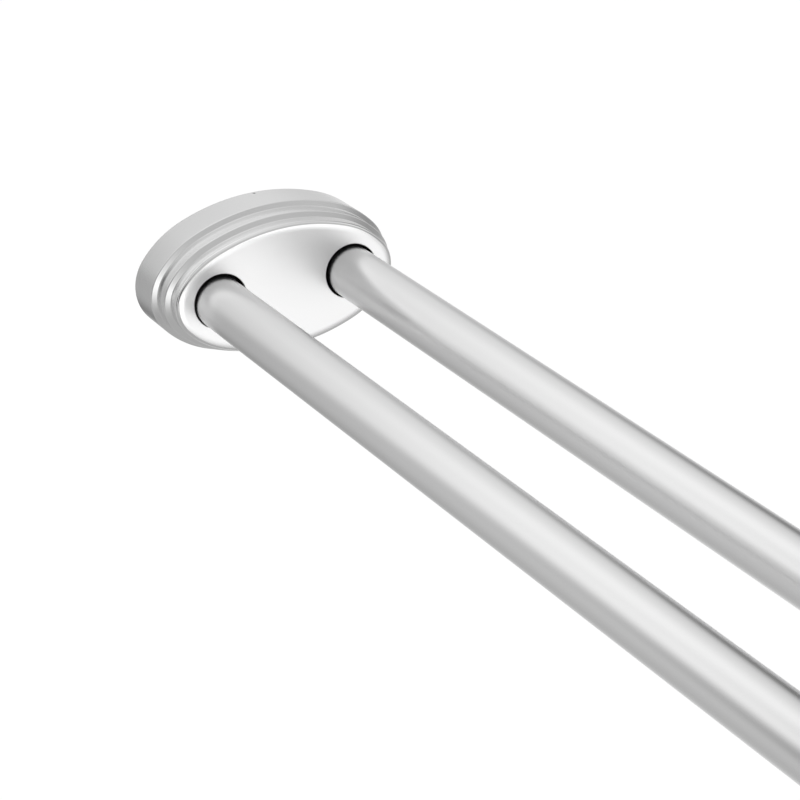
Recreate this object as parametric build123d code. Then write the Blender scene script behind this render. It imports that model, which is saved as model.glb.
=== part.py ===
from build123d import *
from math import cos, radians, sin, sqrt
import os

# Straight double shower curtain rod. Two telescoping rods press between facing walls: turning an
# outer tube jams an eccentric cam in its bore and then drives a screw out of the inner tube.
# Millimetres. The near wall is the plane x = 0, +X runs along the rods, +Z is up.

# Span from wall to wall: as modelled, and the least and most that the rods reach
SPAN = 1219.2
SHORTEST_SPAN = 1117.6
LONGEST_SPAN = 1828.8

# Tubes
ROD_SPACING = 70.0
OUTER_OD = 25.4
OUTER_WALL = 0.8
INNER_OD = 22.2
INNER_WALL = 0.8
LEAST_OVERLAP = 130.0
MOUTH_MARGIN = 36.0

# Stepped oval cover: a straight skirt, two narrower tiers behind sloped ledges, and a flat face
COVER_WIDTH = 125.6
COVER_HEIGHT = 73.2
COVER_WALL = 1.8
WALL_GAP = 0.5
SKIRT_DEPTH = 19.7
TIER_STEP = 2.7
FIRST_LEDGE_RISE = 1.2
SECOND_TIER_DEPTH = 8.1
SECOND_LEDGE_RISE = 1.6
THIRD_TIER_DEPTH = 7.4
FACE_ROUND = 3.2
TIER_ROUND = 0.7
HOLE_CLEARANCE = 1.1
HOLE_ROUND = 0.4
DIMPLE_OD = 1.6
DIMPLE_DEPTH = 0.7
DIMPLE_INSET = 1.9
DIMPLE_OFFSET = 2.3

# Oval outline: tangent arcs that follow an ellipse, by the turn of the end and side arcs from their axes
# in degrees and the shoulder arc's share of the mean radius
END_TURN = 39.5
SIDE_TURN = 21.2
SHOULDER_SHARE = 1.057

# Base inside the cover, with a socket for each rod, and the rubber pad behind it
PAD_THICKNESS = 2.5
GROOVE_WIDTH = 1.6
GROOVE_DEPTH = 0.8
GROOVE_INSETS = (5.0, 11.0)
PLATE_THICKNESS = 3.5
RIM_WALL = 2.0
RIM_HEIGHT = 7.0
SOCKET_DEPTH = 20.0
SOCKET_WALL = 2.2
RIB_WALL = 2.0
RIB_HEIGHT = 11.0

# Fittings on the tubes
PLUG_FLANGE = 2.5
PLUG_DEPTH = 16.0
PLUG_WALL = 2.0
CAP_FLOOR = 2.5
SLEEVE_DEPTH = 24.0
LIP_THICKNESS = 1.6
LIP_PROUD = 0.6

# Screw and cam inside each rod
SPINDLE_OD = 10.0
SPINDLE_REACH = 70.0
SPINDLE_GAP = 6.0
HEAD_FLANGE = 2.5
HEAD_INSET = 0.5
JOURNAL_OD = 13.0
JOURNAL_LENGTH = 10.0
ECCENTRICITY = 1.2
CAM_MOUTH = 9.6
NUT_DEPTH = 22.0
NUT_LIP = 2.0

# Clearances
SKIRT_CLEARANCE = 0.4
SOCKET_CLEARANCE = 0.3
SEAT_CLEARANCE = 0.2
PRESS_CLEARANCE = 0.02
SLIDE_CLEARANCE = 0.1
THREAD_CLEARANCE = 0.05
JOURNAL_CLEARANCE = 0.05
CAM_CLEARANCE = 0.8
CAM_END_CLEARANCE = 0.25

# Places along the rods that follow from the sizes
SKIRT_END = WALL_GAP + SKIRT_DEPTH
SECOND_START = SKIRT_END + FIRST_LEDGE_RISE
SECOND_END = SECOND_START + SECOND_TIER_DEPTH
THIRD_START = SECOND_END + SECOND_LEDGE_RISE
FACE_X = THIRD_START + THIRD_TIER_DEPTH
FLOOR_X = PAD_THICKNESS + PLATE_THICKNESS
PLUG_X = FLOOR_X + SEAT_CLEARANCE
OUTER_START = PLUG_X + PLUG_FLANGE
MOUTH_X = SHORTEST_SPAN - FACE_X - MOUTH_MARGIN
INNER_START = MOUTH_X - LEAST_OVERLAP - (LONGEST_SPAN - SPAN)
INNER_END = SPAN - PLUG_X - CAP_FLOOR
NUT_FACE = INNER_START - NUT_LIP
HEAD_END = NUT_FACE - SPINDLE_GAP
JOURNAL_END = HEAD_END - HEAD_FLANGE
JOURNAL_START = JOURNAL_END - JOURNAL_LENGTH
HEAD_START = JOURNAL_START - HEAD_FLANGE

# Radii and half sizes that follow from the sizes
OUTER_BORE = OUTER_OD / 2 - OUTER_WALL
INNER_BORE = INNER_OD / 2 - INNER_WALL
SOCKET_BORE = OUTER_OD / 2 + SOCKET_CLEARANCE
HOLE_RADIUS = OUTER_OD / 2 + HOLE_CLEARANCE
CAM_RADIUS = OUTER_BORE - CAM_CLEARANCE
BASE_INSET = COVER_WALL + SKIRT_CLEARANCE
FACE_INSET = 2 * TIER_STEP + FACE_ROUND + COVER_WALL
RODS = {"front": -ROD_SPACING / 2, "rear": ROD_SPACING / 2}


def disc(x, radius, y=0.0, z=0.0):
    """A round sketch across the rods at x."""
    return Plane.YZ.offset(x) * Pos(y, z) * Circle(radius)


def oval_arcs():
    """The oval's arcs in order round it: centre y and z, radius, start angle and turn in degrees.

    On each quarter an end, a shoulder and a side arc meet tangent to tangent. The end and side radii are
    those that bring the three arcs to the oval's half width and half height.
    """
    half_width = COVER_WIDTH / 2
    half_height = COVER_HEIGHT / 2
    first = radians(END_TURN)
    second = radians(90 - SIDE_TURN)
    shoulder = SHOULDER_SHARE * sqrt(half_width * half_height)
    across = half_width - shoulder * (cos(first) - cos(second))
    up = half_height - shoulder * (sin(second) - sin(first))
    scale = (1 - cos(first)) * (1 - sin(second)) - cos(second) * sin(first)
    end = (across * (1 - sin(second)) - up * cos(second)) / scale
    side = (up * (1 - cos(first)) - across * sin(first)) / scale
    end_y = half_width - end
    shoulder_y = end_y - (shoulder - end) * cos(first)
    shoulder_z = (end - shoulder) * sin(first)
    side_z = half_height - side
    shoulder_turn = 90 - SIDE_TURN - END_TURN
    return [
        (end_y, 0, end, -END_TURN, 2 * END_TURN),
        (shoulder_y, shoulder_z, shoulder, END_TURN, shoulder_turn),
        (0, side_z, side, 90 - SIDE_TURN, 2 * SIDE_TURN),
        (-shoulder_y, shoulder_z, shoulder, 90 + SIDE_TURN, shoulder_turn),
        (-end_y, 0, end, 180 - END_TURN, 2 * END_TURN),
        (-shoulder_y, -shoulder_z, shoulder, 180 + END_TURN, shoulder_turn),
        (0, -side_z, side, 270 - SIDE_TURN, 2 * SIDE_TURN),
        (shoulder_y, -shoulder_z, shoulder, 270 + SIDE_TURN, shoulder_turn),
    ]


def oval(x, inset):
    """The cover's oval at x, drawn in by inset."""
    arcs = [CenterArc((y, z), radius - inset, start, turn) for y, z, radius, start, turn in oval_arcs()]
    return Plane.YZ.offset(x) * make_face(arcs)


def bar(start, end, radius, y=0.0, z=0.0):
    """A round bar from start to end along the rods."""
    return extrude(disc(start, radius, y, z), end - start)


def pipe(start, end, radius, bore, y=0.0):
    """A round pipe from start to end along the rods."""
    return extrude(disc(start, radius, y) - disc(start, bore, y), end - start)


def block(x, y, z):
    """A box between the pairs of limits x, y and z."""
    size = [high - low for low, high in (x, y, z)]
    middle = [(high + low) / 2 for low, high in (x, y, z)]
    return Pos(*middle) * Box(*size)


def wall_section():
    """The cover's wall in section: outwards from the outline along x, and away from the wall along y."""
    second, third = TIER_STEP, 2 * TIER_STEP
    back_off = COVER_WALL / 2
    skirt_corner = (0, SKIRT_END)
    second_corner = (-second, SECOND_END)
    face_corner = (-third, FACE_X)
    points = [
        (0, WALL_GAP),
        skirt_corner,
        (-second, SECOND_START),
        second_corner,
        (-third, THIRD_START),
        face_corner,
        (-FACE_INSET, FACE_X),
        (-FACE_INSET, FACE_X - COVER_WALL),
        (-third - COVER_WALL, FACE_X - COVER_WALL),
        (-third - COVER_WALL, THIRD_START - back_off),
        (-second - COVER_WALL, SECOND_END - back_off),
        (-second - COVER_WALL, SECOND_START - back_off),
        (-COVER_WALL, SKIRT_END - back_off),
        (-COVER_WALL, WALL_GAP),
    ]
    section = make_face(Polyline(*points, close=True))
    rounds = ((skirt_corner, TIER_ROUND), (second_corner, TIER_ROUND), (face_corner, FACE_ROUND))
    for corner, radius in rounds:
        section = fillet(section.vertices().sort_by_distance(corner)[0], radius)
    return section


def cover():
    """The stepped oval cover: its wall carried round the oval, a face with two holes, a dimple on top."""
    section = wall_section()
    shell = extrude(oval(FACE_X - COVER_WALL, FACE_INSET), COVER_WALL)
    for y, z, radius, start, turn in oval_arcs():
        outwards = (0, cos(radians(start)), sin(radians(start)))
        across = (0, sin(radians(start)), -cos(radians(start)))
        plane = Plane(origin=(0, y, z), x_dir=outwards, z_dir=across)
        shell += revolve(plane * Pos(radius, 0) * section, Axis((0, y, z), (1, 0, 0)), turn)
    for y in RODS.values():
        shell -= bar(0, FACE_X, HOLE_RADIUS, y)
    for y in RODS.values():
        rim = shell.edges().filter_by(GeomType.CIRCLE).sort_by_distance((FACE_X, y, HOLE_RADIUS))[0]
        shell = fillet(rim, HOLE_ROUND)
    dimple_floor = Plane.XY.offset(COVER_HEIGHT / 2 - DIMPLE_DEPTH)
    dimple = dimple_floor * Pos(WALL_GAP + DIMPLE_INSET, DIMPLE_OFFSET) * Circle(DIMPLE_OD / 2)
    return shell - extrude(dimple, COVER_WALL)


def base():
    """The moulded base: an oval plate with a rim, two sockets and the ribs that brace them."""
    plate_back = PAD_THICKNESS
    rib_front = FLOOR_X + RIB_HEIGHT
    body = extrude(oval(plate_back, BASE_INSET), PLATE_THICKNESS)
    body += extrude(oval(plate_back, BASE_INSET) - oval(plate_back, BASE_INSET + RIM_WALL), RIM_HEIGHT)
    half_rib = (-RIB_WALL / 2, RIB_WALL / 2)
    ribs = block((plate_back, rib_front), (-COVER_WIDTH, COVER_WIDTH), half_rib)
    for y in RODS.values():
        across = (y - RIB_WALL / 2, y + RIB_WALL / 2)
        ribs += block((plate_back, rib_front), across, (-COVER_HEIGHT, COVER_HEIGHT))
    within = extrude(oval(plate_back, BASE_INSET + RIM_WALL / 2), rib_front - plate_back)
    body += ribs & within
    for y in RODS.values():
        body += bar(plate_back, FLOOR_X + SOCKET_DEPTH, SOCKET_BORE + SOCKET_WALL, y)
    for y in RODS.values():
        body -= bar(FLOOR_X, FLOOR_X + SOCKET_DEPTH, SOCKET_BORE, y)
    return body


def pad():
    """The rubber pad, with oval grooves in the face that grips the wall."""
    body = extrude(oval(0, BASE_INSET), PAD_THICKNESS)
    for inset in GROOVE_INSETS:
        groove = oval(0, BASE_INSET + inset) - oval(0, BASE_INSET + inset + GROOVE_WIDTH)
        body -= extrude(groove, GROOVE_DEPTH)
    return body


def end_plug(y):
    """The moulded plug in the outer tube's end, which turns in the base's socket."""
    plug = bar(PLUG_X, OUTER_START, OUTER_OD / 2, y)
    spigot = OUTER_BORE - PRESS_CLEARANCE
    plug += bar(OUTER_START, OUTER_START + PLUG_DEPTH, spigot, y)
    return plug - bar(OUTER_START, OUTER_START + PLUG_DEPTH, spigot - PLUG_WALL, y)


def guide_sleeve(y):
    """The sleeve in the outer tube's mouth that the inner tube slides through."""
    bore = INNER_OD / 2 + SLIDE_CLEARANCE
    sleeve = pipe(MOUTH_X - SLEEVE_DEPTH, MOUTH_X, OUTER_BORE - PRESS_CLEARANCE, bore, y)
    return sleeve + pipe(MOUTH_X, MOUTH_X + LIP_THICKNESS, OUTER_OD / 2 + LIP_PROUD, bore, y)


def inner_cap(y):
    """The cap that brings the inner tube's end up to the size of the far base's socket."""
    cap = bar(SPAN - FACE_X, SPAN - PLUG_X, OUTER_OD / 2, y)
    return cap - bar(SPAN - FACE_X, INNER_END, INNER_OD / 2 + PRESS_CLEARANCE, y)


def nut(y):
    """The threaded plug fixed in the inner tube's end."""
    bore = SPINDLE_OD / 2 + THREAD_CLEARANCE
    plug = pipe(NUT_FACE, INNER_START, INNER_OD / 2, bore, y)
    return plug + pipe(INNER_START, INNER_START + NUT_DEPTH, INNER_BORE - PRESS_CLEARANCE, bore, y)


def spindle(y):
    """The screw, with an eccentric journal for the cam between two flanges."""
    flange = CAM_RADIUS - HEAD_INSET
    screw = bar(HEAD_START, JOURNAL_START, flange, y)
    screw += bar(JOURNAL_START, JOURNAL_END, JOURNAL_OD / 2, y, ECCENTRICITY)
    screw += bar(JOURNAL_END, HEAD_END, flange, y)
    return screw + bar(HEAD_END, INNER_START + SPINDLE_REACH, SPINDLE_OD / 2, y)


def cam(y):
    """The open ring that snaps on the eccentric journal and jams in the outer tube when dragged round."""
    start = JOURNAL_START + CAM_END_CLEARANCE
    end = JOURNAL_END - CAM_END_CLEARANCE
    bore = JOURNAL_OD / 2 + JOURNAL_CLEARANCE
    ring = bar(start, end, CAM_RADIUS, y) - bar(start, end, bore, y, ECCENTRICITY)
    mouth = (y - CAM_MOUTH / 2, y + CAM_MOUTH / 2)
    return ring - block((start, end), mouth, (ECCENTRICITY, OUTER_OD))


def at_far_wall(piece):
    """The same piece turned to face the near end, at the far wall."""
    return Pos(SPAN, 0, 0) * Rot(0, 0, 180) * piece


pieces = {"left_cover": cover(), "left_base": base(), "left_pad": pad()}
for name in ("cover", "base", "pad"):
    pieces["right_" + name] = at_far_wall(pieces["left_" + name])
for rod, y in RODS.items():
    pieces[rod + "_outer_tube"] = pipe(OUTER_START, MOUTH_X, OUTER_OD / 2, OUTER_BORE, y)
    pieces[rod + "_inner_tube"] = pipe(INNER_START, INNER_END, INNER_OD / 2, INNER_BORE, y)
    pieces[rod + "_end_plug"] = end_plug(y)
    pieces[rod + "_guide_sleeve"] = guide_sleeve(y)
    pieces[rod + "_inner_cap"] = inner_cap(y)
    pieces[rod + "_nut"] = nut(y)
    pieces[rod + "_spindle"] = spindle(y)
    pieces[rod + "_cam"] = cam(y)

os.makedirs("parts", exist_ok=True)
for name, piece in pieces.items():
    export_step(piece, "parts/" + name + ".step")
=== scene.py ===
import math

import bpy
import numpy as np
from mathutils import Matrix, Vector


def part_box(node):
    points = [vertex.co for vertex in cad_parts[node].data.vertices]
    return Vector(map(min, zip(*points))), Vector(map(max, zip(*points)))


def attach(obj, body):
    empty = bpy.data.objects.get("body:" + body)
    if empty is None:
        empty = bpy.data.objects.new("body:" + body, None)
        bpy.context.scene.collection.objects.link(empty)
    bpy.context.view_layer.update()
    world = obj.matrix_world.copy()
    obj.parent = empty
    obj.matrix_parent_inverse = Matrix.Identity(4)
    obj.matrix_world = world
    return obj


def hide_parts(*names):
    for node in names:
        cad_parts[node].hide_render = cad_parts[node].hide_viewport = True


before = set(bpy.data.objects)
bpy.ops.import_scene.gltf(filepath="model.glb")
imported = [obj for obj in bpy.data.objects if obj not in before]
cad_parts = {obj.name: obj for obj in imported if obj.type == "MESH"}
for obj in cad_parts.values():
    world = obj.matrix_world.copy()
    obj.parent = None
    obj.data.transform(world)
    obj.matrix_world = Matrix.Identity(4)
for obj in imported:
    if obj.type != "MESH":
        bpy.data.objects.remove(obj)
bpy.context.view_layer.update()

bl_info = {
    "name": "Straight double curtain rod",
    "version": (1, 0, 0),
    "blender": (4, 5, 0),
    "location": "3D View > Sidebar > Curtain Rod",
    "description": "Surfaces, finishes and stage of a straight double shower curtain rod",
    "category": "Object",
}

MM = 0.001
# Points closer than this many millimetres are one, and angles and places this close are equal
WELD = 1e-5
TINY = 1e-6


def node_box(node):
    """A CAD node's lowest and highest corners in millimetres."""
    low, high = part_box(node)
    return np.array(low) / MM, np.array(high) / MM


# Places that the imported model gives, in millimetres
COVER_LOW, COVER_HIGH = node_box("left_cover")
BASE_LOW, BASE_HIGH = node_box("left_base")
PAD_LOW, PAD_HIGH = node_box("left_pad")
OUTER_LOW, OUTER_HIGH = node_box("front_outer_tube")
INNER_LOW, INNER_HIGH = node_box("front_inner_tube")
PLUG_LOW, PLUG_HIGH = node_box("front_end_plug")
SLEEVE_LOW, SLEEVE_HIGH = node_box("front_guide_sleeve")
CAP_LOW, CAP_HIGH = node_box("front_inner_cap")
NUT_LOW, NUT_HIGH = node_box("front_nut")
SPINDLE_LOW, SPINDLE_HIGH = node_box("front_spindle")
SPAN = node_box("right_pad")[1][0]
ROD_Y = {"front": (OUTER_LOW[1] + OUTER_HIGH[1]) / 2}
ROD_Y["rear"] = -ROD_Y["front"]


def length(name, description, millimetres):
    """A property that holds a length."""
    return bpy.props.FloatProperty(name=name, description=description, default=millimetres * MM, unit="LENGTH")


class CoverSizes(bpy.types.PropertyGroup):
    """Sizes of the stepped oval cover."""

    width: length("Width", "Width of the oval at the skirt", COVER_HIGH[1] - COVER_LOW[1])
    height: length("Height", "Height of the oval at the skirt", COVER_HIGH[2] - COVER_LOW[2])
    wall: length("Wall", "Thickness of the drawn metal", 1.8)
    skirt_end: length("Skirt end", "Distance of the skirt's edge from the wall", 20.2)
    first_ledge: length("First ledge", "Rise of the ledge above the skirt", 1.2)
    second_tier: length("Second tier", "Depth of the second tier", 8.1)
    second_ledge: length("Second ledge", "Rise of the ledge above the second tier", 1.6)
    step: length("Step", "How far each tier stands in", 2.7)
    tier_round: length("Tier round", "Radius of the two tier edges", 0.7)
    corner_round: length("Corner round", "Radius in the corners behind the ledges", 0.6)
    face_round: length("Face round", "Radius of the face's edge", 1.85)
    face_crown: length("Face crown", "Radius where the edge runs out into the flat face", 13.5)
    crown_tilt: bpy.props.FloatProperty(
        name="Crown tilt", description="Tilt of the face where its edge meets the crown",
        default=math.radians(11), subtype="ANGLE")
    hole_radius: length("Hole radius", "Radius of the hole that a rod passes through", 13.65)
    hole_round: length("Hole round", "Radius of the hole's front edge", 0.4)
    front_play: bpy.props.FloatVectorProperty(
        name="Front play", description="How far the front hole sits off its rod's axis, across and up", size=2,
        default=(0.25 * MM, 0.65 * MM), unit="LENGTH")
    rear_play: bpy.props.FloatVectorProperty(
        name="Rear play", description="How far the rear hole sits off its rod's axis, across and up", size=2,
        default=(-0.28 * MM, 0.45 * MM), unit="LENGTH")
    dimple_depth: length("Dimple depth", "Depth of the small dimple on top", 0.7)


class RodSizes(bpy.types.PropertyGroup):
    """Sizes of the tubes and of the pieces in them."""

    outer_wall: length("Outer wall", "Wall of the outer tubes", 0.8)
    inner_wall: length("Inner wall", "Wall of the inner tubes", 0.8)
    tube_edge: length("Tube edge", "Radius of the broken edges at the tubes' ends", 0.25)
    moulded_edge: length("Moulded edge", "Radius of the edges of the moulded fittings", 0.4)
    thread_pitch: length("Thread pitch", "Pitch of the screw's thread", 2.0)
    thread_depth: length("Thread depth", "Depth of the screw's thread", 1.0)
    segments: bpy.props.IntProperty(
        name="Segments", description="Segments round a tube", default=160, min=24)


class BaseSizes(bpy.types.PropertyGroup):
    """Sizes of the moulded bases and of the rubber pads behind them."""

    plate: length("Plate", "Thickness of the base's plate", 3.5)
    rim_wall: length("Rim wall", "Wall of the rim round the plate", 2.0)
    rim_height: length("Rim height", "Height of the rim from the plate's back", 7.0)
    socket_bore: length("Socket bore", "Radius of the socket that a rod turns in", 13.0)
    socket_wall: length("Socket wall", "Wall of the sockets", 2.2)
    rib_wall: length("Rib wall", "Thickness of the bracing ribs", 2.0)
    rib_height: length("Rib height", "Height of the ribs above the plate", 11.0)
    groove_width: length("Groove width", "Width of the pad's oval grooves", 1.6)
    groove_depth: length("Groove depth", "Depth of the pad's oval grooves", 0.8)
    edge: length("Edge", "Radius of the moulded edges", 0.45)


class FinishLook(bpy.types.PropertyGroup):
    """Colours and roughness of the finishes."""

    rod: bpy.props.FloatVectorProperty(
        name="Rod", description="Satin metal of the rods", subtype="COLOR", default=(0.85, 0.85, 0.85))
    cover: bpy.props.FloatVectorProperty(
        name="Cover", description="Satin metal of the covers", subtype="COLOR", default=(0.87, 0.87, 0.87))
    base: bpy.props.FloatVectorProperty(
        name="Base", description="Black moulded plastic", subtype="COLOR", default=(0.018, 0.018, 0.019))
    pad: bpy.props.FloatVectorProperty(
        name="Pad", description="Dark rubber", subtype="COLOR", default=(0.05, 0.05, 0.052))
    fitting: bpy.props.FloatVectorProperty(
        name="Fitting", description="Grey moulded plastic", subtype="COLOR", default=(0.36, 0.36, 0.37))
    nylon: bpy.props.FloatVectorProperty(
        name="Nylon", description="Natural nylon", subtype="COLOR", default=(0.78, 0.76, 0.70))
    steel: bpy.props.FloatVectorProperty(
        name="Steel", description="Zinc plated steel", subtype="COLOR", default=(0.58, 0.58, 0.60))
    rod_roughness: bpy.props.FloatProperty(
        name="Rod roughness", description="Roughness of the rods' satin metal", default=0.29, min=0, max=1,
        subtype="FACTOR")
    cover_roughness: bpy.props.FloatProperty(
        name="Cover roughness", description="Roughness of the covers' satin metal", default=0.2, min=0, max=1,
        subtype="FACTOR")
    face_roughness: bpy.props.FloatProperty(
        name="Face roughness", description="Roughness of the covers' flat faces", default=0.38, min=0, max=1,
        subtype="FACTOR")


class StageLook(bpy.types.PropertyGroup):
    """Floor, light and camera."""

    floor_drop: bpy.props.FloatProperty(
        name="Floor drop", description="How far the floor lies below the rods", default=1.2, unit="LENGTH")
    floor_colour: bpy.props.FloatVectorProperty(
        name="Floor", description="Pale floor", subtype="COLOR", default=(0.8, 0.8, 0.8))
    level: bpy.props.FloatProperty(
        name="Level", description="Plain level of the studio between its lights and cards", default=0.451, min=0)
    lamp_power: bpy.props.FloatProperty(
        name="Lamp power", description="Power of the soft overhead lamp in watts", default=12.0, min=0)
    lens: bpy.props.FloatProperty(
        name="Lens", description="Focal length in millimetres on a 36 mm sensor", default=120.610, min=1)


PROPERTY_GROUPS = {
    "rod_cover_sizes": CoverSizes,
    "rod_tube_sizes": RodSizes,
    "rod_base_sizes": BaseSizes,
    "rod_finishes": FinishLook,
    "rod_stage": StageLook,
}


class Term:
    """A node socket that takes part in Python sums: each operator adds one Math node."""

    def __init__(self, graph, socket):
        self.graph = graph
        self.socket = socket

    def math(self, operation, other=0.0):
        return self.graph.node("ShaderNodeMath", {"operation": operation}, {0: self, 1: other})

    def __add__(self, other):
        return self.math("ADD", other)

    def __sub__(self, other):
        return self.math("SUBTRACT", other)

    def __mul__(self, other):
        return self.math("MULTIPLY", other)

    __radd__ = __add__
    __rmul__ = __mul__


class Graph:
    """A node tree that is written from Python."""

    def __init__(self, tree):
        tree.nodes.clear()
        self.tree = tree

    def node(self, kind, settings=None, inputs=None, output=0):
        """Adds a node: its settings first, then its sockets."""
        made = self.tree.nodes.new(kind)
        for name, value in (settings or {}).items():
            setattr(made, name, value)
        for key, value in (inputs or {}).items():
            if isinstance(value, Term):
                self.tree.links.new(value.socket, made.inputs[key])
            else:
                made.inputs[key].default_value = value
        return Term(self, made.outputs[output]) if made.outputs else None

    def noise(self, coordinates, scale, detail=2.0, roughness=0.5):
        """Fractal noise from 0 to 1 at a scale in cells a metre."""
        return self.node("ShaderNodeTexNoise", None, {
            "Vector": coordinates, "Scale": scale, "Detail": detail, "Roughness": roughness})

    def stretched(self, coordinates, scale):
        """Coordinates scaled by three factors."""
        return self.node("ShaderNodeMapping", None, {"Vector": coordinates, "Scale": scale})

    def tint(self, share, first, second):
        """A colour between two others, each of them a socket or three channels. A Mix node takes its colours in
        sockets 6 and 7 and gives their mix in output 2."""
        first, second = (colour if isinstance(colour, Term) else (*colour, 1) for colour in (first, second))
        return self.node("ShaderNodeMix", {"data_type": "RGBA"}, {0: share, 6: first, 7: second}, output=2)

    def mark(self, name):
        """A value that the mesh's points carry."""
        return self.node("ShaderNodeAttribute", {"attribute_name": name}, output="Fac")

    def seen_directly(self):
        """One for camera and transmission rays, and nought for the others."""
        rays = self.node("ShaderNodeLightPath").socket.node.outputs
        return Term(self, rays["Is Camera Ray"]) + Term(self, rays["Is Transmission Ray"])


# Height of a metal's fine marks, in metres, and the painted shade in a pressed hollow: its near-black colour and
# how much of it is mixed in
MARK_HEIGHT = 0.05 * MM
PAINTED_SHADE_COLOUR = (0.02, 0.02, 0.02)
PAINTED_SHADE_SHARE = 0.9
WHITE = (1, 1, 1)


def shade_of(colour, factor):
    """A colour made darker or paler by a factor."""
    return tuple(channel * factor for channel in colour)


def new_material(name, dress):
    """A material whose Principled inputs come from dress(graph, object coordinates)."""
    material = bpy.data.materials.new(name)
    material.use_nodes = True
    graph = Graph(material.node_tree)
    place = graph.node("ShaderNodeTexCoord", output="Object")
    surface = graph.node("ShaderNodeBsdfPrincipled", None, dress(graph, place))
    graph.node("ShaderNodeOutputMaterial", None, {"Surface": surface})
    return material


def satin_metal(name, colour, roughness, streak_scale, flat_roughness=0.0):
    """Plated metal with a satin polish: faint cloudy tone, fine streaks along one axis, a fine grain, duller flats
    where the buffing wheel gave the edges more shine, and painted shade, near black, in a pressed hollow."""

    def dress(graph, place):
        cloud = graph.noise(place, scale=18.0, detail=3.0)
        streak = graph.noise(graph.stretched(place, streak_scale), scale=1.0)
        grain = graph.noise(place, scale=5200.0, detail=1.0)
        tone = 0.6 * cloud + 0.4 * streak
        height = 0.6 * streak + 0.4 * grain
        metal = graph.tint(tone, shade_of(colour, 0.975), shade_of(colour, 1.025))
        swing = 0.02
        dullness = swing * cloud + swing * streak + flat_roughness * graph.mark("flat")
        return {
            # Painted shade: the colour in the dimple's hollow is mixed toward near black, standing in for the shade
            # that falls there
            "Base Color": graph.tint(PAINTED_SHADE_SHARE * graph.mark("painted_recess_shade"), metal, PAINTED_SHADE_COLOUR),
            "Metallic": 1.0,
            "Roughness": (roughness - swing) + dullness,
            "Normal": graph.node("ShaderNodeBump", None, {
                "Strength": 0.03, "Distance": MARK_HEIGHT, "Height": height}),
        }

    return new_material(name, dress)


def moulded(name, colour, roughness, grain_scale, grain_depth, specular=0.5):
    """Moulded plastic or rubber: a fine spark-eroded grain, faint flow marks and a little dust."""

    def dress(graph, place):
        flow = graph.noise(graph.stretched(place, (30.0, 60.0, 45.0)), scale=1.0, detail=3.0)
        grain = graph.noise(place, grain_scale, roughness=0.6)
        tone = 0.7 * flow + 0.3 * grain
        return {
            "Base Color": graph.tint(tone, shade_of(colour, 0.85), shade_of(colour, 1.15)),
            "Roughness": (roughness - 0.08) + 0.1 * flow + 0.06 * grain,
            "Specular IOR Level": specular,
            "Normal": graph.node("ShaderNodeBump", None, {
                "Strength": 0.35, "Distance": grain_depth * MM, "Height": grain}),
        }

    return new_material(name, dress)


def zinc_plate(name, colour):
    """Zinc plated steel: a bright metal with pale blooms and fine turning marks."""

    def dress(graph, place):
        bloom = graph.noise(place, scale=160.0, detail=3.0)
        turning = graph.noise(graph.stretched(place, (6000.0, 40.0, 40.0)), scale=1.0, detail=1.0)
        tone = 0.7 * bloom + 0.3 * turning
        return {
            "Base Color": graph.tint(tone, shade_of(colour, 0.86), shade_of(colour, 1.14)),
            "Metallic": 1.0,
            "Roughness": 0.26 + 0.16 * bloom,
            "Normal": graph.node("ShaderNodeBump", None, {
                "Strength": 0.15, "Distance": MARK_HEIGHT, "Height": turning}),
        }

    return new_material(name, dress)


FINISHES = {}


def finish_named(slot):
    """The material of a record slot, made the first time it is asked for."""
    if slot not in FINISHES:
        look = bpy.context.scene.rod_finishes
        makers = {
            "rod_finish": lambda: satin_metal(
                "satin_rod", look.rod, look.rod_roughness, (9.0, 1500.0, 1500.0)),
            "cover_finish": lambda: satin_metal(
                "satin_cover", look.cover, look.cover_roughness, (1400.0, 40.0, 40.0),
                look.face_roughness - look.cover_roughness),
            "base_plastic": lambda: moulded("black_moulding", look.base, 0.5, 1800.0, 0.05),
            "pad_rubber": lambda: moulded("pad_rubber", look.pad, 0.8, 900.0, 0.08, 0.3),
            "fitting_plastic": lambda: moulded("grey_moulding", look.fitting, 0.45, 2200.0, 0.03),
            "nylon": lambda: moulded("natural_nylon", look.nylon, 0.4, 1600.0, 0.03),
            "spindle_steel": lambda: zinc_plate("zinc_steel", look.steel),
        }
        FINISHES[slot] = makers[slot]()
    return FINISHES[slot]


def rounded(corners, radii, steps=6, hold=0.03):
    """A polyline with each inner corner turned into an arc of its radius.

    On a corner where the line turns by an angle, the arc starts the radius times the tangent of half the turn
    before the corner. A point stands just before and just after each arc, so that flats stay flat when shaded.
    """
    corners = np.asarray(corners, float)
    radii = np.broadcast_to(np.asarray(radii, float), len(corners) - 2)[:, None]
    ahead = np.diff(corners, axis=0)
    ahead /= np.linalg.norm(ahead, axis=1)[:, None]
    before, after = ahead[:-1], ahead[1:]
    cross = before[:, 0] * after[:, 1] - before[:, 1] * after[:, 0]
    turn = np.arctan2(cross, (before * after).sum(1))[:, None]
    reach = radii * np.tan(np.abs(turn) / 2)
    start = corners[1:-1] - before * reach
    end = corners[1:-1] + after * reach
    side = np.sign(turn) * np.c_[-before[:, 1], before[:, 0]]
    angle = np.abs(turn) * np.linspace(0, 1, steps + 1)
    along = np.sin(angle)[:, :, None] * before[:, None, :]
    inward = (1 - np.cos(angle))[:, :, None] * side[:, None, :]
    arcs = start[:, None, :] + radii[:, :, None] * (along + inward)
    rows = np.concatenate([(start - before * hold)[:, None], arcs, (end + after * hold)[:, None]], axis=1)
    return np.vstack([corners[:1], rows.reshape(-1, 2), corners[-1:]])


def grid_quads(rows, columns, offset):
    """Quads of a grid of points whose index is row times columns plus column."""
    row, column = np.meshgrid(np.arange(rows - 1), np.arange(columns - 1), indexing="ij")
    corner = (offset + row * columns + column).ravel()
    return np.stack([corner, corner + 1, corner + columns + 1, corner + columns], axis=1)


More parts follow.
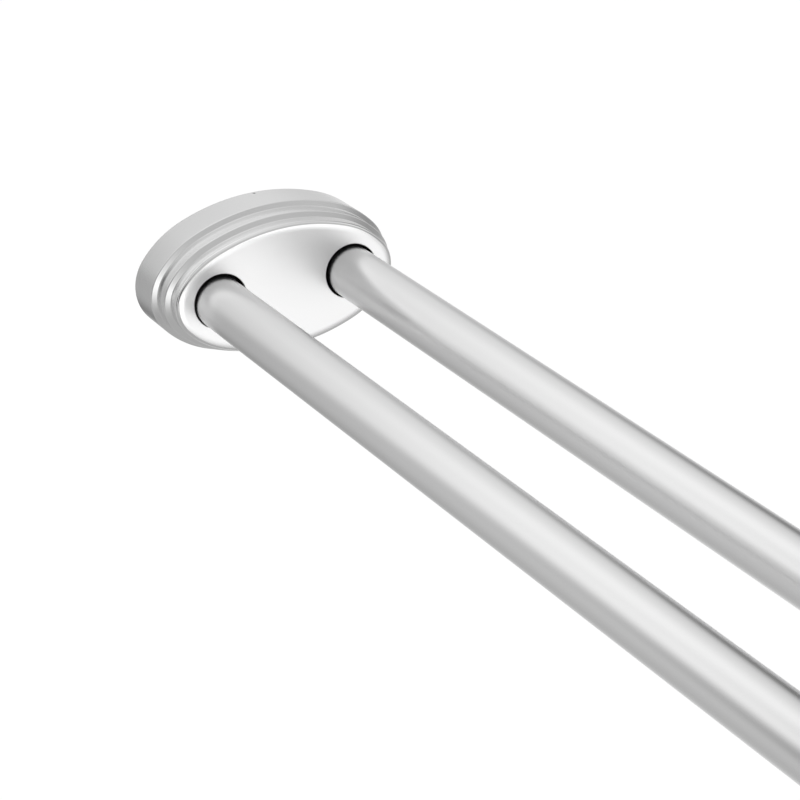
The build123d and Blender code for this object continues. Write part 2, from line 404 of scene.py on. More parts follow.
def welded(grids):
    """One closed shell from grids that meet: equal points are joined, thin quads become triangles, and the
    whole is turned outwards by the sign of its volume."""
    offsets = np.cumsum([0] + [grid.shape[0] * grid.shape[1] for grid in grids])
    points = np.vstack([grid.reshape(-1, 3) for grid in grids])
    quads = np.vstack([grid_quads(*grid.shape[:2], offset) for grid, offset in zip(grids, offsets)])
    _, first, index = np.unique(np.round(points / WELD), axis=0, return_index=True, return_inverse=True)
    points = points[first]
    quads = index.reshape(-1)[quads]
    same = quads == np.roll(quads, -1, axis=1)
    whole = quads[~same.any(axis=1)]
    corners = np.arange(4)
    once = same.sum(axis=1) == 1
    triangles = np.vstack([
        quads[once & same[:, gone]][:, corners != gone] for gone in corners])
    first_half, second_half = whole[:, [0, 1, 2]], whole[:, [0, 2, 3]]
    a, b, c = (points[np.concatenate([first_half, second_half, triangles])[:, k]] for k in range(3))
    if (a * np.cross(b, c)).sum() < 0:
        whole = whole[:, ::-1]
        triangles = triangles[:, ::-1]
    return points, whole, triangles


def far_end(shells):
    """The same shells at the far wall, turned half round to face the near end."""
    half_turn, shift = np.array([-1.0, -1.0, 1.0]), np.array([SPAN, 0.0, 0.0])
    return [(points * half_turn + shift, quads, triangles) for points, quads, triangles in shells]


def add_piece(name, shells, body, node, slot, marks=None):
    """A smooth mesh of one or more shells, in metres at the origin, which rides on a body and stands for a node.
    Marks name the points' values that its finish reads."""
    points = []
    faces = []
    count = 0
    for shell_points, quads, triangles in shells:
        points.append(shell_points * MM)
        faces += (quads + count).tolist() + (triangles + count).tolist()
        count += len(shell_points)
    mesh = bpy.data.meshes.new(name)
    mesh.from_pydata(np.vstack(points), [], faces)
    mesh.validate()
    mesh.shade_smooth()
    mesh.materials.append(finish_named(slot))
    for mark, values in (marks or {}).items():
        mesh.attributes.new(mark, "FLOAT", "POINT").data.foreach_set("value", values)
    piece = bpy.data.objects.new(name, mesh)
    bpy.context.scene.collection.objects.link(piece)
    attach(piece, body)
    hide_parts(node)


def turned(profile, y, z=0.0, segments=160):
    """A profile of places along the rod and radii, carried round the axis at y and z:
    the point at angle a is y plus radius times cos a, z plus radius times sin a."""
    place, radius = np.asarray(profile, float).T
    angle = np.linspace(0, 2 * np.pi, segments + 1)
    across = y + radius[:, None] * np.cos(angle)
    up = z + radius[:, None] * np.sin(angle)
    along = np.broadcast_to(place[:, None], across.shape)
    return np.stack([along, across, up], axis=2)


# The oval's arcs: how far its end and side arcs turn on each quarter, and the shoulder's radius as a share of the
# geometric mean of the half width and half height
END_TURN, SIDE_TURN, SHOULDER_SHARE = math.radians(39.5), math.radians(21.2), 1.057


def oval_arcs(width, height):
    """The radii and centres of the arcs on the oval's first quarter, and the normal angles where they meet.

    An end, a shoulder and a side arc meet tangent to tangent, close to an ellipse. The end and side radii bring
    them to the half width and half height.
    """
    half_width, half_height = width / 2, height / 2
    first, second = END_TURN, math.pi / 2 - SIDE_TURN
    shoulder = SHOULDER_SHARE * math.sqrt(half_width * half_height)
    across = half_width - shoulder * (math.cos(first) - math.cos(second))
    up = half_height - shoulder * (math.sin(second) - math.sin(first))
    scale = (1 - math.cos(first)) * (1 - math.sin(second)) - math.cos(second) * math.sin(first)
    end = (across * (1 - math.sin(second)) - up * math.cos(second)) / scale
    side = (up * (1 - math.cos(first)) - across * math.sin(first)) / scale
    centre_y = [half_width - end, half_width - end - (shoulder - end) * math.cos(first), 0.0]
    centre_z = [0.0, (end - shoulder) * math.sin(first), half_height - side]
    return np.array([end, shoulder, side]), np.stack([centre_y, centre_z], axis=1), (first, second)


def oval_curve(angles, width, height):
    """The oval's points and outward normals, by the angle of the normal: each point is its arc's centre plus the
    arc's radius along the normal, and the other quarters mirror the first."""
    radii, centres, breaks = oval_arcs(width, height)
    normal = np.stack([np.cos(angles), np.sin(angles)], axis=-1)
    folded = np.arctan2(np.abs(normal[..., 1]), np.abs(normal[..., 0]))
    arc = np.searchsorted(breaks, folded)
    sign = np.where(np.abs(normal) < 1e-12, 1.0, np.sign(normal))
    return centres[arc] * sign + radii[arc][..., None] * normal, normal


def oval_angles(width, height, per_quarter):
    """Normal angles at equal steps along the oval, the same on each quarter."""
    radii, _, breaks = oval_arcs(width, height)
    breaks = np.array([0, *breaks, math.pi / 2])
    walked = np.concatenate([[0], np.cumsum(radii * np.diff(breaks))])
    quarter = np.interp(np.linspace(0, walked[-1], per_quarter + 1), walked, breaks)
    half = np.concatenate([quarter, math.pi - quarter[-2:0:-1]])
    return np.concatenate([half, half + math.pi])


def round_oval(profile, angles, width, height):
    """A profile of insets and places, carried round the oval: each point is the oval's point less the inset
    along its normal."""
    closed = np.append(angles, angles[0] + 2 * math.pi)
    outline, normal = oval_curve(closed, width, height)
    inset, place = np.asarray(profile, float).T
    flat = outline[None] - inset[:, None, None] * normal[None]
    along = np.broadcast_to(place[:, None], flat.shape[:2])
    return np.concatenate([along[:, :, None], flat], axis=2)


# The dimple on top of the skirt: in millimetres its place from the back edge and across, its radius and the reach
# of the fine mesh round it, then that mesh's rows, and how steeply its bowl and its painted shade rise
DIMPLE_FROM_BACK, DIMPLE_ACROSS, DIMPLE_RADIUS = 1.9, 2.3, 0.8
DIMPLE_REACH, DIMPLE_ROWS = 1.1, 25
BOWL_RISE, SHADE_RISE = 1.25, 2.2
# The cover's edges inside, its corners inside and the skirt's lip: their radii in millimetres
INSIDE_EDGE, INSIDE_CORNER, SKIRT_LIP = 0.4, 0.8, 0.35
# The straight run between the face's edge and its crown, and the depth over which the dull flat fades out
CROWN_RUN, FLAT_FADE = 0.1, 0.3
# Steps along a quarter of the oval, and points on the line between the two halves of the face
COVER_STEPS, SEAM_POINTS = 72, 41
# Where the rings of the face lie on the way from its outline to a hole
FACE_RINGS = (0.0, 0.35, 0.7)


def cover_shell(sizes):
    """The stepped oval cover: its wall section carried round the oval, and a face with two holes.

    Each half of the face is a ring of straight lines from the oval and the middle line to the hole, over the
    hole's rounded edge, through the wall and back along the inside. The dimple is a smooth bowl pressed into the
    skirt's top.
    """
    width, height, wall = sizes.width / MM, sizes.height / MM, sizes.wall / MM
    back, face = COVER_LOW[0], COVER_HIGH[0]
    skirt = sizes.skirt_end / MM
    second_start = skirt + sizes.first_ledge / MM
    second_end = second_start + sizes.second_tier / MM
    third_start = second_end + sizes.second_ledge / MM
    second, third = sizes.step / MM, 2 * sizes.step / MM
    tier_round, corner_round = sizes.tier_round / MM, sizes.corner_round / MM
    face_round, face_crown = sizes.face_round / MM, sizes.face_crown / MM
    tilt = sizes.crown_tilt
    between = face_round * math.tan(math.pi / 4 - tilt / 2) + face_crown * math.tan(tilt / 2) + CROWN_RUN
    edge_corner = (third, face - between * math.sin(tilt))
    crown_corner = (third + between * math.cos(tilt), face)
    face_inset = crown_corner[0] + face_crown * math.tan(tilt / 2) + wall
    off = wall / 2
    dimple_x = back + DIMPLE_FROM_BACK
    fine = np.linspace(-DIMPLE_REACH, DIMPLE_REACH, DIMPLE_ROWS)

    inside = rounded([
        (face_inset, face - wall), (third + wall, face - wall), (third + wall, third_start - off),
        (second + wall, second_end - off), (second + wall, second_start - off), (wall, skirt - off),
        (wall, back), (0, back), (0, dimple_x - DIMPLE_REACH)],
        [INSIDE_EDGE, INSIDE_EDGE, INSIDE_CORNER, INSIDE_EDGE, INSIDE_CORNER, SKIRT_LIP, SKIRT_LIP])
    skirt_rows = np.c_[np.zeros(DIMPLE_ROWS), dimple_x + fine]
    outside = rounded([
        (0, dimple_x + DIMPLE_REACH), (0, skirt), (second, second_start), (second, second_end),
        (third, third_start), edge_corner, crown_corner, (face_inset, face)],
        [tier_round, corner_round, tier_round, corner_round, face_round, face_crown], steps=8)
    profile = np.vstack([inside, skirt_rows[1:-1], outside])

    angles = oval_angles(width, height, COVER_STEPS)
    radii, _, _ = oval_arcs(width, height)
    near = np.arccos((DIMPLE_ACROSS + fine) / radii[2])
    angles = np.unique(np.round(np.concatenate([angles, near, near + math.pi]), 9))
    walls = round_oval(profile, angles, width, height)
    pressed = np.hypot(walls[..., 0] - dimple_x, walls[..., 1] - DIMPLE_ACROSS) / DIMPLE_RADIUS
    bowl = np.clip(BOWL_RISE - BOWL_RISE * pressed ** 2, 0, 1)
    on_top = (walls[..., 2] > 0) & (profile[:, :1] < wall / 2) & (profile[:, 1:] < skirt)
    walls[..., 2] -= sizes.dimple_depth / MM * on_top * bowl * bowl * (3 - 2 * bowl)

    quarter_turn = math.pi / 2
    half = np.concatenate([
        angles[angles >= 3 * quarter_turn - TINY] - 2 * math.pi, angles[angles <= quarter_turn + TINY]])
    outline, normal = oval_curve(half, width, height)
    arc = outline - face_inset * normal
    seam = np.linspace(arc[-1], arc[0], SEAM_POINTS)
    loop = np.vstack([arc, seam[1:]])
    loop[np.abs(loop[:, 0]) < TINY, 0] = 0.0
    rim, rim_round = sizes.hole_radius / MM, sizes.hole_round / MM
    edge = rounded([
        (rim + 2 * rim_round, face), (rim, face), (rim, face - wall), (rim + 2 * rim_round, face - wall)],
        [rim_round, rim_round / 2])
    share = np.array(FACE_RINGS)[:, None, None]
    plates = []
    for side, play in ((1.0, sizes.rear_play), (-1.0, sizes.front_play)):
        hole = np.array([ROD_Y["rear"], 0.0]) + side * np.array(play) / MM
        ray = loop - hole
        ray /= np.linalg.norm(ray, axis=1)[:, None]
        ring = hole + edge[:, :1, None] * ray
        front = loop + share * (ring[0] - loop)
        rear = loop + share[::-1] * (ring[-1] - loop)
        flat = np.concatenate([front, ring, rear])
        along = np.concatenate([np.full(len(front), face), edge[:, 1], np.full(len(rear), face - wall)])
        plate = np.concatenate([np.broadcast_to(along[:, None, None], (*flat.shape[:2], 1)), flat], axis=2)
        plates.append(plate * np.array([1.0, side, side]))
    points, quads, triangles = welded([walls, *plates])
    pressed = np.hypot(points[:, 0] - dimple_x, points[:, 1] - DIMPLE_ACROSS) / DIMPLE_RADIUS
    outside_only = points[:, 2] > height / 2 - 0.8 * wall
    marks = {
        # Painted shade in the dimple: near black in the middle of the bowl, fading out toward its edge, on the
        # outside only
        "painted_recess_shade": np.clip(SHADE_RISE - SHADE_RISE * pressed, 0, 1) * outside_only,
        "flat": np.clip(1 - (face - points[:, 0]) / FLAT_FADE, 0, 1),
    }
    return (points, quads, triangles), marks


class ROD_OT_covers(bpy.types.Operator):
    """Make the two stepped oval covers"""

    bl_idname = "curtain_rod.covers"
    bl_label = "Covers"

    def execute(self, context):
        shell, marks = cover_shell(context.scene.rod_cover_sizes)
        add_piece("left_cover_shell", [shell], "left_cover", "left_cover", "cover_finish", marks)
        add_piece("right_cover_shell", far_end([shell]), "right_cover", "right_cover", "cover_finish", marks)
        return {"FINISHED"}


TUBE_ROWS = 26


def pipe_shell(start, end, radius, bore, y, edge, segments):
    """A tube: a rectangle of its wall with broken edges, carried round its axis, in even lengths along it."""
    middle = (start + end) / 2
    lengths = np.linspace(start, end, TUBE_ROWS)[1:-1]
    ring = rounded([(middle, bore), (start, bore), (start, radius), (middle, radius)], edge)
    back = rounded([(middle, radius), (end, radius), (end, bore), (middle, bore)], edge)
    near, far = lengths[lengths < middle], lengths[lengths > middle]
    profile = np.vstack([
        ring[:-1], np.c_[near, np.full(len(near), radius)], back[:1],
        np.c_[far, np.full(len(far), radius)], back[1:]])
    return welded([turned(profile, y, segments=segments)])


class ROD_OT_tubes(bpy.types.Operator):
    """Make the outer and inner tubes of both rods"""

    bl_idname = "curtain_rod.tubes"
    bl_label = "Tubes"

    def execute(self, context):
        sizes = context.scene.rod_tube_sizes
        edge = sizes.tube_edge / MM
        outer_radius = (OUTER_HIGH[2] - OUTER_LOW[2]) / 2
        inner_radius = (INNER_HIGH[2] - INNER_LOW[2]) / 2
        for rod, y in ROD_Y.items():
            shell = pipe_shell(OUTER_LOW[0], OUTER_HIGH[0], outer_radius, outer_radius - sizes.outer_wall / MM,
                               y, edge, sizes.segments)
            add_piece(rod + "_outer_rod", [shell], rod + "_outer", rod + "_outer_tube", "rod_finish")
            shell = pipe_shell(INNER_LOW[0], INNER_HIGH[0], inner_radius, inner_radius - sizes.inner_wall / MM,
                               y, edge, sizes.segments)
            add_piece(rod + "_inner_rod", [shell], "right_end", rod + "_inner_tube", "rod_finish")
        return {"FINISHED"}


def closed_profile(corners, edge):
    """A ring's section: a closed polygon with rounded corners that starts in the middle of its last side."""
    corners = np.asarray(corners, float)
    middle = (corners[0] + corners[-1]) / 2
    return rounded(np.vstack([middle, corners, middle]), edge)


# The fittings in millimetres: the gaps of a press fit and of a sliding fit, the plug's wall, the radius of the
# nut's bore, and the radii of their lesser edges
PRESS_GAP, SLIDE_GAP, PLUG_WALL, NUT_BORE = 0.02, 0.1, 2.0, 5.05
CREASE, FINE_EDGE, BROKEN_EDGE, SEAT_EDGE, BORE_EDGE, LIP_EDGE = 0.1, 0.15, 0.2, 0.3, 0.4, 0.5


class ROD_OT_fittings(bpy.types.Operator):
    """Make the moulded plugs, sleeves, caps and nuts of both rods"""

    bl_idname = "curtain_rod.fittings"
    bl_label = "Fittings"

    def execute(self, context):
        sizes = context.scene.rod_tube_sizes
        edge = sizes.moulded_edge / MM
        for rod, y in ROD_Y.items():
            radius = (PLUG_HIGH[2] - PLUG_LOW[2]) / 2
            spigot = radius - sizes.outer_wall / MM - PRESS_GAP
            tube_start = OUTER_LOW[0]
            bore = spigot - PLUG_WALL
            plug = rounded([
                (PLUG_LOW[0], 0), (PLUG_LOW[0], radius), (tube_start, radius), (tube_start, spigot),
                (PLUG_HIGH[0], spigot), (PLUG_HIGH[0], bore), (tube_start, bore), (tube_start, 0)],
                [edge, BROKEN_EDGE, CREASE, edge, edge, edge])
            add_piece(rod + "_plug", [welded([turned(plug, y)])], rod + "_outer", rod + "_end_plug",
                      "fitting_plastic")
            mouth = OUTER_HIGH[0]
            slide = (INNER_HIGH[2] - INNER_LOW[2]) / 2 + SLIDE_GAP
            lip = (SLEEVE_HIGH[2] - SLEEVE_LOW[2]) / 2
            sleeve = closed_profile([
                (SLEEVE_LOW[0], slide), (SLEEVE_LOW[0], spigot), (mouth, spigot), (mouth, lip),
                (SLEEVE_HIGH[0], lip), (SLEEVE_HIGH[0], slide)],
                [FINE_EDGE, FINE_EDGE, CREASE, edge, LIP_EDGE, BROKEN_EDGE])
            add_piece(rod + "_sleeve", [welded([turned(sleeve, y)])], rod + "_outer", rod + "_guide_sleeve",
                      "fitting_plastic")
            cap_radius = (CAP_HIGH[2] - CAP_LOW[2]) / 2
            seat = (INNER_HIGH[2] - INNER_LOW[2]) / 2 + PRESS_GAP
            cap = rounded([
                (CAP_HIGH[0], 0), (CAP_HIGH[0], cap_radius), (CAP_LOW[0], cap_radius), (CAP_LOW[0], seat),
                (INNER_HIGH[0], seat), (INNER_HIGH[0], 0)],
                [edge, LIP_EDGE, SEAT_EDGE, CREASE])
            add_piece(rod + "_cap", [welded([turned(cap, y)])], "right_end", rod + "_inner_cap",
                      "fitting_plastic")
            nut_lip = (NUT_HIGH[2] - NUT_LOW[2]) / 2
            nut_spigot = nut_lip - sizes.inner_wall / MM - PRESS_GAP
            nut = closed_profile([
                (NUT_LOW[0], NUT_BORE), (NUT_LOW[0], nut_lip), (INNER_LOW[0], nut_lip),
                (INNER_LOW[0], nut_spigot), (NUT_HIGH[0], nut_spigot), (NUT_HIGH[0], NUT_BORE)],
                [BORE_EDGE, edge, BROKEN_EDGE, CREASE, edge, BORE_EDGE])
            add_piece(rod + "_threaded_plug", [welded([turned(nut, y)])], "right_end", rod + "_nut", "nylon")
        return {"FINISHED"}


# The screw: rows of points a pitch and segments round it, the share of a pitch's half that its crest and its flank
# take, and in millimetres how far the thread runs in and out and how long the tip is
PITCH_ROWS, THREAD_SEGMENTS = 14, 48
THREAD_CREST, THREAD_FLANK = 0.2, 0.6
THREAD_RUN_IN, THREAD_RUN_OUT, TIP_LENGTH = 4.0, 0.4, 1.2


def disc_shell(start, end, radius, y, z, edge):
    """A turned disc with rounded edges."""
    profile = rounded([(start, 0), (start, radius), (end, radius), (end, 0)], edge)
    return welded([turned(profile, y, z, segments=96)])


def screw_shell(start, end, radius, depth, pitch, y):
    """A threaded bar: at a place along it and an angle, the radius is the crest less the thread's depth times a
    flat-topped wave of the place in pitches less the angle in turns. The wave fades out at both ends, where the bar
    closes on its axis."""
    place = np.linspace(start, end, int((end - start) / pitch * PITCH_ROWS))[:, None]
    angle = np.linspace(0, 2 * np.pi, THREAD_SEGMENTS + 1)[None]
    wave = np.abs((place / pitch - angle / (2 * np.pi)) % 1 * 2 - 1)
    groove = np.clip((wave - THREAD_CREST) / THREAD_FLANK, 0, 1)
    fade = np.clip((place - start) / THREAD_RUN_IN, 0, 1) * np.clip((end - place) / THREAD_RUN_OUT, 0, 1)
    tip = np.clip(1 - (end - place) / TIP_LENGTH, 0, 1) * depth
    reach = radius - depth * groove * fade - tip
    grid = np.stack([
        np.broadcast_to(place, reach.shape), y + reach * np.cos(angle), reach * np.sin(angle)], axis=2)
    grid[:, -1] = grid[:, 0]
    middle = np.array([[[start, y, 0.0]], [[end, y, 0.0]]])
    middle = np.broadcast_to(middle, (2, *grid.shape[1:]))
    return welded([np.concatenate([middle[:1], grid, middle[1:]])])


# The screw's flanges, journal and shank, how far its shells run into each other, and its edges, in millimetres
FLANGE_DEPTH, JOURNAL_LENGTH, JOURNAL_RADIUS, ECCENTRIC, SHANK_RADIUS = 2.5, 10.0, 6.5, 1.2, 5.0
OVERLAP, FLANGE_EDGE, JOURNAL_EDGE = 0.3, 0.4, 0.1


class ROD_OT_screws(bpy.types.Operator):
    """Make the screws and finish the cams on their eccentric journals"""

    bl_idname = "curtain_rod.screws"
    bl_label = "Screws and cams"

    def execute(self, context):
        sizes = context.scene.rod_tube_sizes
        flange = (SPINDLE_HIGH[2] - SPINDLE_LOW[2]) / 2
        journal_start = SPINDLE_LOW[0] + FLANGE_DEPTH
        journal_end = journal_start + JOURNAL_LENGTH
        head_end = journal_end + FLANGE_DEPTH
        for rod, y in ROD_Y.items():
            shells = [
                disc_shell(SPINDLE_LOW[0], journal_start, flange, y, 0, FLANGE_EDGE),
                disc_shell(journal_start - OVERLAP, journal_end + OVERLAP, JOURNAL_RADIUS, y, ECCENTRIC,
                           JOURNAL_EDGE),
                disc_shell(journal_end, head_end, flange, y, 0, FLANGE_EDGE),
                screw_shell(head_end - OVERLAP, SPINDLE_HIGH[0], SHANK_RADIUS, sizes.thread_depth / MM,
                            sizes.thread_pitch / MM, y),
            ]
            add_piece(rod + "_screw", shells, rod + "_spindle", rod + "_spindle", "spindle_steel")
            dress_node(rod + "_cam", "nylon")
        return {"FINISHED"}


def dress_node(node, slot):
    """Gives a CAD node that stays in view its finish."""
    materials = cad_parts[node].data.materials
    materials.clear()
    materials.append(finish_named(slot))


OVAL_STEPS = 48


def filled_oval(profile, width, height):
    """A profile of insets and places carried round the oval, with its first and last rows drawn in to the
    middle of the oval, which closes it."""
    angles = oval_angles(width, height, OVAL_STEPS)
    rows = round_oval(profile, angles, width, height)
    middle = rows[[0, -1]] * np.array([1.0, 0.0, 0.0])
    return welded([np.concatenate([middle[:1], rows, middle[1:]])])


def rib_shell(start, end, half, low, high, edge):
    """A straight rib between two points across the rods: a rectangle with rounded corners carried along the
    line, shrunk at both ends by a quarter circle and closed on its middle."""
    start, end = np.array(start), np.array(end)
    span = np.linalg.norm(end - start)
    ahead = (end - start) / span
    side = np.array([-ahead[1], ahead[0]])
    bend = np.linspace(0, math.pi / 2, 5)
    shrink = edge * (1 - np.sin(bend))
    along = edge * (1 - np.cos(bend))
    shrink = np.concatenate([shrink, shrink[::-1]])
    along = np.concatenate([along, span - along[::-1]])
    corners = np.array([[-half, low], [-half, high], [half, high], [half, low]])
    inwards = np.array([[1, 1], [1, -1], [-1, -1], [-1, 1]])
    sections = np.stack([closed_profile(corners + inset * inwards, edge) for inset in shrink])
    across = start + along[:, None, None] * ahead + sections[..., :1] * side
    rows = np.concatenate([sections[..., 1:], across], axis=2)
    caps = np.broadcast_to(rows[[0, -1]].mean(axis=1, keepdims=True), rows[[0, -1]].shape)
    return welded([np.concatenate([caps[:1], rows, caps[1:]])])


# The base in millimetres: how far in its plate's first ring lies, how deep a socket's foot stands in the plate and
# how far it reaches out, and the radii of the foot's fillet and of the socket's mouth
PLATE_RING, FOOT_DEPTH, FOOT_REACH, FOOT_FILLET, SOCKET_MOUTH = 12.0, 1.0, 1.2, 0.7, 0.8


def base_shells(cover, sizes):
    """The moulded base: a filled oval with a rim, a turned socket with a fillet at its foot for each rod, and
    the ribs between the sockets and the rim."""
    width, height = cover.width / MM, cover.height / MM
    edge = sizes.edge / MM
    inset = (width - (BASE_HIGH[1] - BASE_LOW[1])) / 2
    back = BASE_LOW[0]
    floor = back + sizes.plate / MM
    rim_top = back + sizes.rim_height / MM
    rim_inside = inset + sizes.rim_wall / MM
    plate = rounded([
        (inset + PLATE_RING, back), (inset, back), (inset, rim_top), (rim_inside, rim_top), (rim_inside, floor),
        (inset + PLATE_RING, floor)], edge)
    shells = [filled_oval(plate, width, height)]
    bore = sizes.socket_bore / MM
    outside = bore + sizes.socket_wall / MM
    foot, foot_side = floor - FOOT_DEPTH, outside + FOOT_REACH
    socket = closed_profile([
        (foot, bore), (BASE_HIGH[0], bore), (BASE_HIGH[0], outside), (floor, outside), (floor, foot_side),
        (foot, foot_side)], [CREASE, SOCKET_MOUTH, edge, FOOT_FILLET, CREASE, CREASE])
    half = sizes.rib_wall / MM / 2
    rib_top = floor + sizes.rib_height / MM
    beside = (bore + outside) / 2
    rim_middle = inset + sizes.rim_wall / MM / 2
    ribs = [((-ROD_Y["rear"] + beside, 0.0), (ROD_Y["rear"] - beside, 0.0))]
    outline, _ = oval_curve(oval_angles(width, height, OVAL_STEPS)[:OVAL_STEPS + 1], width, height)
    upright = np.interp(-ROD_Y["rear"], -outline[:, 0], outline[:, 1]) - rim_middle
    for y in ROD_Y.values():
        shells.append(welded([turned(socket, y)]))
        outwards = math.copysign(1.0, y)
        ribs.append(((y + outwards * beside, 0.0), (outwards * (width / 2 - rim_middle), 0.0)))
        ribs.append(((y, beside), (y, upright)))
        ribs.append(((y, -beside), (y, -upright)))
    return shells + [rib_shell(*line, half, foot, rib_top, edge) for line in ribs]


# The pad in millimetres: how far in its first ring and its grooves lie, and the radii of its section
PAD_RING, INNER_GROOVE, OUTER_GROOVE = 15.0, 11.0, 5.0
GROOVE_RADII = [0.3, 0.2, 0.2, 0.3]
PAD_BACK_EDGE, PAD_FRONT_EDGE = 0.6, 0.4


def pad_shell(cover, sizes):
    """The rubber pad: a filled oval with two oval grooves in the face that grips the wall."""
    width, height = cover.width / MM, cover.height / MM
    inset = (width - (PAD_HIGH[1] - PAD_LOW[1])) / 2
    back, front = PAD_LOW[0], PAD_HIGH[0]
    bottom = back + sizes.groove_depth / MM
    inner, outer = inset + INNER_GROOVE, inset + OUTER_GROOVE
    breadth = sizes.groove_width / MM
    section = rounded([
        (inset + PAD_RING, back), (inner + breadth, back), (inner + breadth, bottom), (inner, bottom),
        (inner, back), (outer + breadth, back), (outer + breadth, bottom), (outer, bottom), (outer, back),
        (inset, back), (inset, front), (inset + PAD_RING, front)],
        GROOVE_RADII * 2 + [PAD_BACK_EDGE, PAD_FRONT_EDGE])
    return filled_oval(section, width, height)


class ROD_OT_bases(bpy.types.Operator):
    """Make the moulded bases and the rubber pads"""

    bl_idname = "curtain_rod.bases"
    bl_label = "Bases and pads"

    def execute(self, context):
        cover = context.scene.rod_cover_sizes
        sizes = context.scene.rod_base_sizes
        base = base_shells(cover, sizes)
        pad = [pad_shell(cover, sizes)]
        add_piece("left_moulded_base", base, "left_end", "left_base", "base_plastic")
        add_piece("left_rubber_pad", pad, "left_end", "left_pad", "pad_rubber")
        add_piece("right_moulded_base", far_end(base), "right_end", "right_base", "base_plastic")
        add_piece("right_rubber_pad", far_end(pad), "right_end", "right_pad", "pad_rubber")
        return {"FINISHED"}


# Soft lights, and dark cards where the strength is negative, on a plain level: the direction that each comes
# from, how narrow it is and its strength
SOFT_RIG = {
    "far card": ((-0.984, -0.133, 0.115), 16.4, -3.59),
    "face light": ((0.955, 0.171, -0.242), 21.5, 2.03),
    "far wash": ((-0.846, -0.356, 0.396), 5.6, 1.62),
    "front side card": ((-0.472, -0.876, 0.097), 27.1, -1.48),
    "far card, overhead": ((-0.456, -0.528, 0.716), 16.1, -1.14),
    "far rear card": ((-0.624, 0.752, 0.212), 55.0, -1.01),
    "front side light": ((0.867, -0.498, -0.007), 19.4, 0.89),
    "rear light, low": ((-0.579, 0.602, -0.550), 8.9, 0.82),
    "front card": ((0.412, -0.857, 0.310), 16.7, -0.79),
    "face light, rear": ((0.837, 0.546, 0.044), 44.7, 0.72),
    "front light, high": ((-0.112, -0.613, 0.782), 28.7, 0.65),
    "front strip": ((-0.066, -0.987, 0.149), 30.2, 0.63),
    "far card, low": ((-0.914, 0.048, -0.403), 36.4, -0.47),
    "rear light, high": ((0.029, 0.871, 0.490), 19.5, 0.46),
    "face card, low": ((0.879, -0.139, -0.455), 34.4, -0.37),
    "top light": ((0.159, 0.131, 0.978), 5.2, 0.36),
    "rear card": ((0.470, 0.868, 0.159), 36.8, -0.26),
    "far rear light": ((-0.841, 0.439, 0.315), 19.6, 0.20),
}


NEAR_BLACK = 0.04


def studio_world(level):
    """A soft studio round the rods. Each light or card adds its strength times e to the power of its sharpness
    times the cosine from its direction less one, and the sum stays above a near black. The camera sees white."""
    world = bpy.data.worlds.new("studio")
    world.use_nodes = True
    graph = Graph(world.node_tree)
    direction = graph.node("ShaderNodeTexCoord", output="Generated")
    light = level
    for aim, sharpness, strength in SOFT_RIG.values():
        facing = graph.node("ShaderNodeVectorMath", {"operation": "DOT_PRODUCT"}, {
            0: direction, 1: Vector(aim).normalized()}, output="Value")
        light = light + strength * (sharpness * (facing - 1)).math("EXPONENT")
    colour = graph.tint(graph.seen_directly(), light.math("MAXIMUM", NEAR_BLACK), WHITE)
    background = graph.node("ShaderNodeBackground", None, {"Color": colour, "Strength": 1.0})
    graph.node("ShaderNodeOutputWorld", None, {"Surface": background})
    bpy.context.scene.world = world


# Half the floor's breadth in metres, the share of its colour that takes the shadow in view, and the glow that
# brings that up to white
FLOOR_HALF, FLOOR_SHADE, FLOOR_GLOW = 20.0, 0.25, 0.88


def pale_floor(look):
    """A wide pale floor that shows white and keeps a soft shadow."""
    side = np.linspace(-FLOOR_HALF, FLOOR_HALF, 3)
    across, along = np.meshgrid(side, side)
    grid = np.stack([across, along, np.full(across.shape, -look.floor_drop)], axis=2)
    mesh = bpy.data.meshes.new("floor")
    mesh.from_pydata(grid.reshape(-1, 3), [], grid_quads(3, 3, 0).tolist())
    material = bpy.data.materials.new("pale_floor")
    material.use_nodes = True
    graph = Graph(material.node_tree)
    lit = graph.node("ShaderNodeBsdfDiffuse", None, {"Color": (*look.floor_colour, 1)})
    dim = graph.node("ShaderNodeBsdfDiffuse", None, {"Color": (*shade_of(look.floor_colour, FLOOR_SHADE), 1)})
    glow = graph.node("ShaderNodeEmission", None, {"Color": (*WHITE, 1), "Strength": FLOOR_GLOW})
    shown = graph.node("ShaderNodeAddShader", None, {0: dim, 1: glow})
    surface = graph.node("ShaderNodeMixShader", None, {0: graph.seen_directly(), 1: lit, 2: shown})
    graph.node("ShaderNodeOutputMaterial", None, {"Surface": surface})
    mesh.materials.append(material)
    floor = bpy.data.objects.new("floor", mesh)
    bpy.context.scene.collection.objects.link(floor)
    floor.visible_glossy = False


# The lamp's length, breadth and height in metres
LAMP_LENGTH, LAMP_BREADTH, LAMP_HEIGHT = 2.4, 1.4, 1.6


def soft_lamp(power):
    """A large soft lamp above the rods."""
    lamp = bpy.data.lights.new("soft_lamp", "AREA")
    lamp.shape = "RECTANGLE"
    lamp.size = LAMP_LENGTH
    lamp.size_y = LAMP_BREADTH
    lamp.energy = power
    carrier = bpy.data.objects.new("soft_lamp", lamp)
    carrier.location = (SPAN * MM / 2, 0.0, LAMP_HEIGHT)
    carrier.visible_glossy = False
    bpy.context.scene.collection.objects.link(carrier)


# The photograph's camera: its place in metres and its axes
CAMERA_PLACE = (1.12584, -0.49554, 0.47567)
CAMERA_RIGHT = (0.471363, 0.880723, -0.046310)
CAMERA_UP = (-0.342690, 0.231285, 0.910534)
CAMERA_BACK = (0.812638, -0.413322, 0.410833)


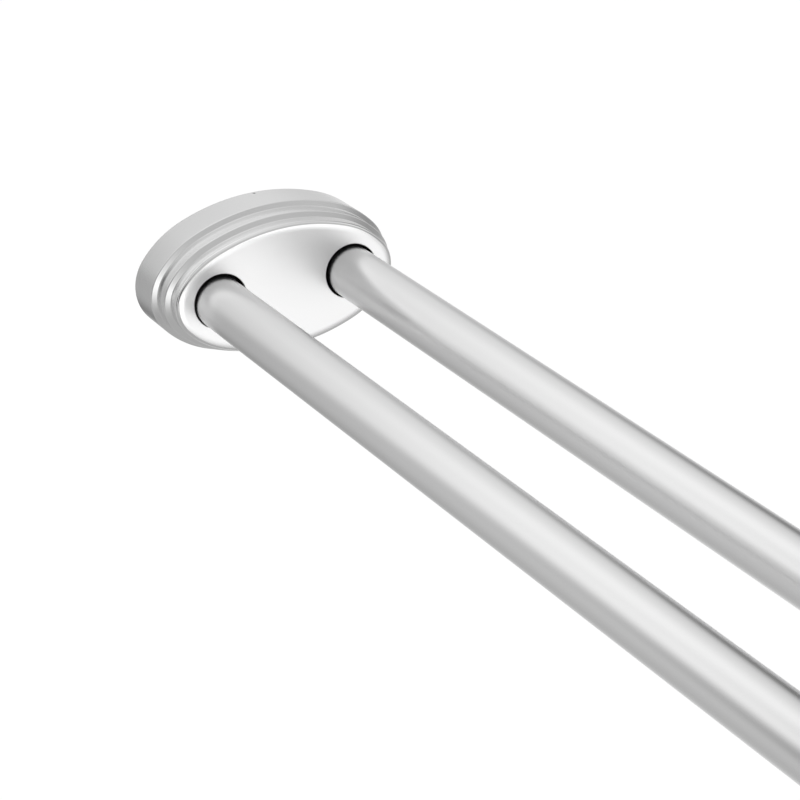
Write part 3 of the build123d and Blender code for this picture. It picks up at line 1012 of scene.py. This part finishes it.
def photo_camera(lens):
    """A camera at the photograph's viewing angle."""
    data = bpy.data.cameras.new("camera")
    data.sensor_fit = "HORIZONTAL"
    data.sensor_width = 36.0
    data.lens = lens
    data.clip_start = 0.01
    data.clip_end = 100.0
    camera = bpy.data.objects.new("camera", data)
    axes = Matrix((CAMERA_RIGHT, CAMERA_UP, CAMERA_BACK)).transposed()
    camera.matrix_world = Matrix.Translation(CAMERA_PLACE) @ axes.to_4x4()
    bpy.context.scene.collection.objects.link(camera)
    bpy.context.scene.camera = camera


class ROD_OT_stage(bpy.types.Operator):
    """Make the floor, the light and the camera"""

    bl_idname = "curtain_rod.stage"
    bl_label = "Stage"

    def execute(self, context):
        look = context.scene.rod_stage
        studio_world(look.level)
        pale_floor(look)
        soft_lamp(look.lamp_power)
        photo_camera(look.lens)
        context.scene.view_settings.view_transform = "Standard"
        return {"FINISHED"}


OPERATORS = (ROD_OT_covers, ROD_OT_tubes, ROD_OT_fittings, ROD_OT_screws, ROD_OT_bases, ROD_OT_stage)


class ROD_PT_panel(bpy.types.Panel):
    """The curtain rod's pieces, finishes and stage"""

    bl_idname = "ROD_PT_panel"
    bl_label = "Double curtain rod"
    bl_space_type = "VIEW_3D"
    bl_region_type = "UI"
    bl_category = "Curtain Rod"

    def draw(self, context):
        for operator in OPERATORS:
            self.layout.operator(operator.bl_idname)
        for name, group in PROPERTY_GROUPS.items():
            box = self.layout.box()
            for key in group.__annotations__:
                box.prop(getattr(context.scene, name), key)


def register():
    for name, group in PROPERTY_GROUPS.items():
        bpy.utils.register_class(group)
        setattr(bpy.types.Scene, name, bpy.props.PointerProperty(type=group))
    for operator in OPERATORS:
        bpy.utils.register_class(operator)
    bpy.utils.register_class(ROD_PT_panel)


def unregister():
    bpy.utils.unregister_class(ROD_PT_panel)
    for operator in OPERATORS:
        bpy.utils.unregister_class(operator)
    for name, group in PROPERTY_GROUPS.items():
        delattr(bpy.types.Scene, name)
        bpy.utils.unregister_class(group)


def main():
    register()
    bpy.ops.curtain_rod.covers()
    bpy.ops.curtain_rod.tubes()
    bpy.ops.curtain_rod.fittings()
    bpy.ops.curtain_rod.screws()
    bpy.ops.curtain_rod.bases()
    bpy.ops.curtain_rod.stage()


if __name__ == "__main__":
    main()
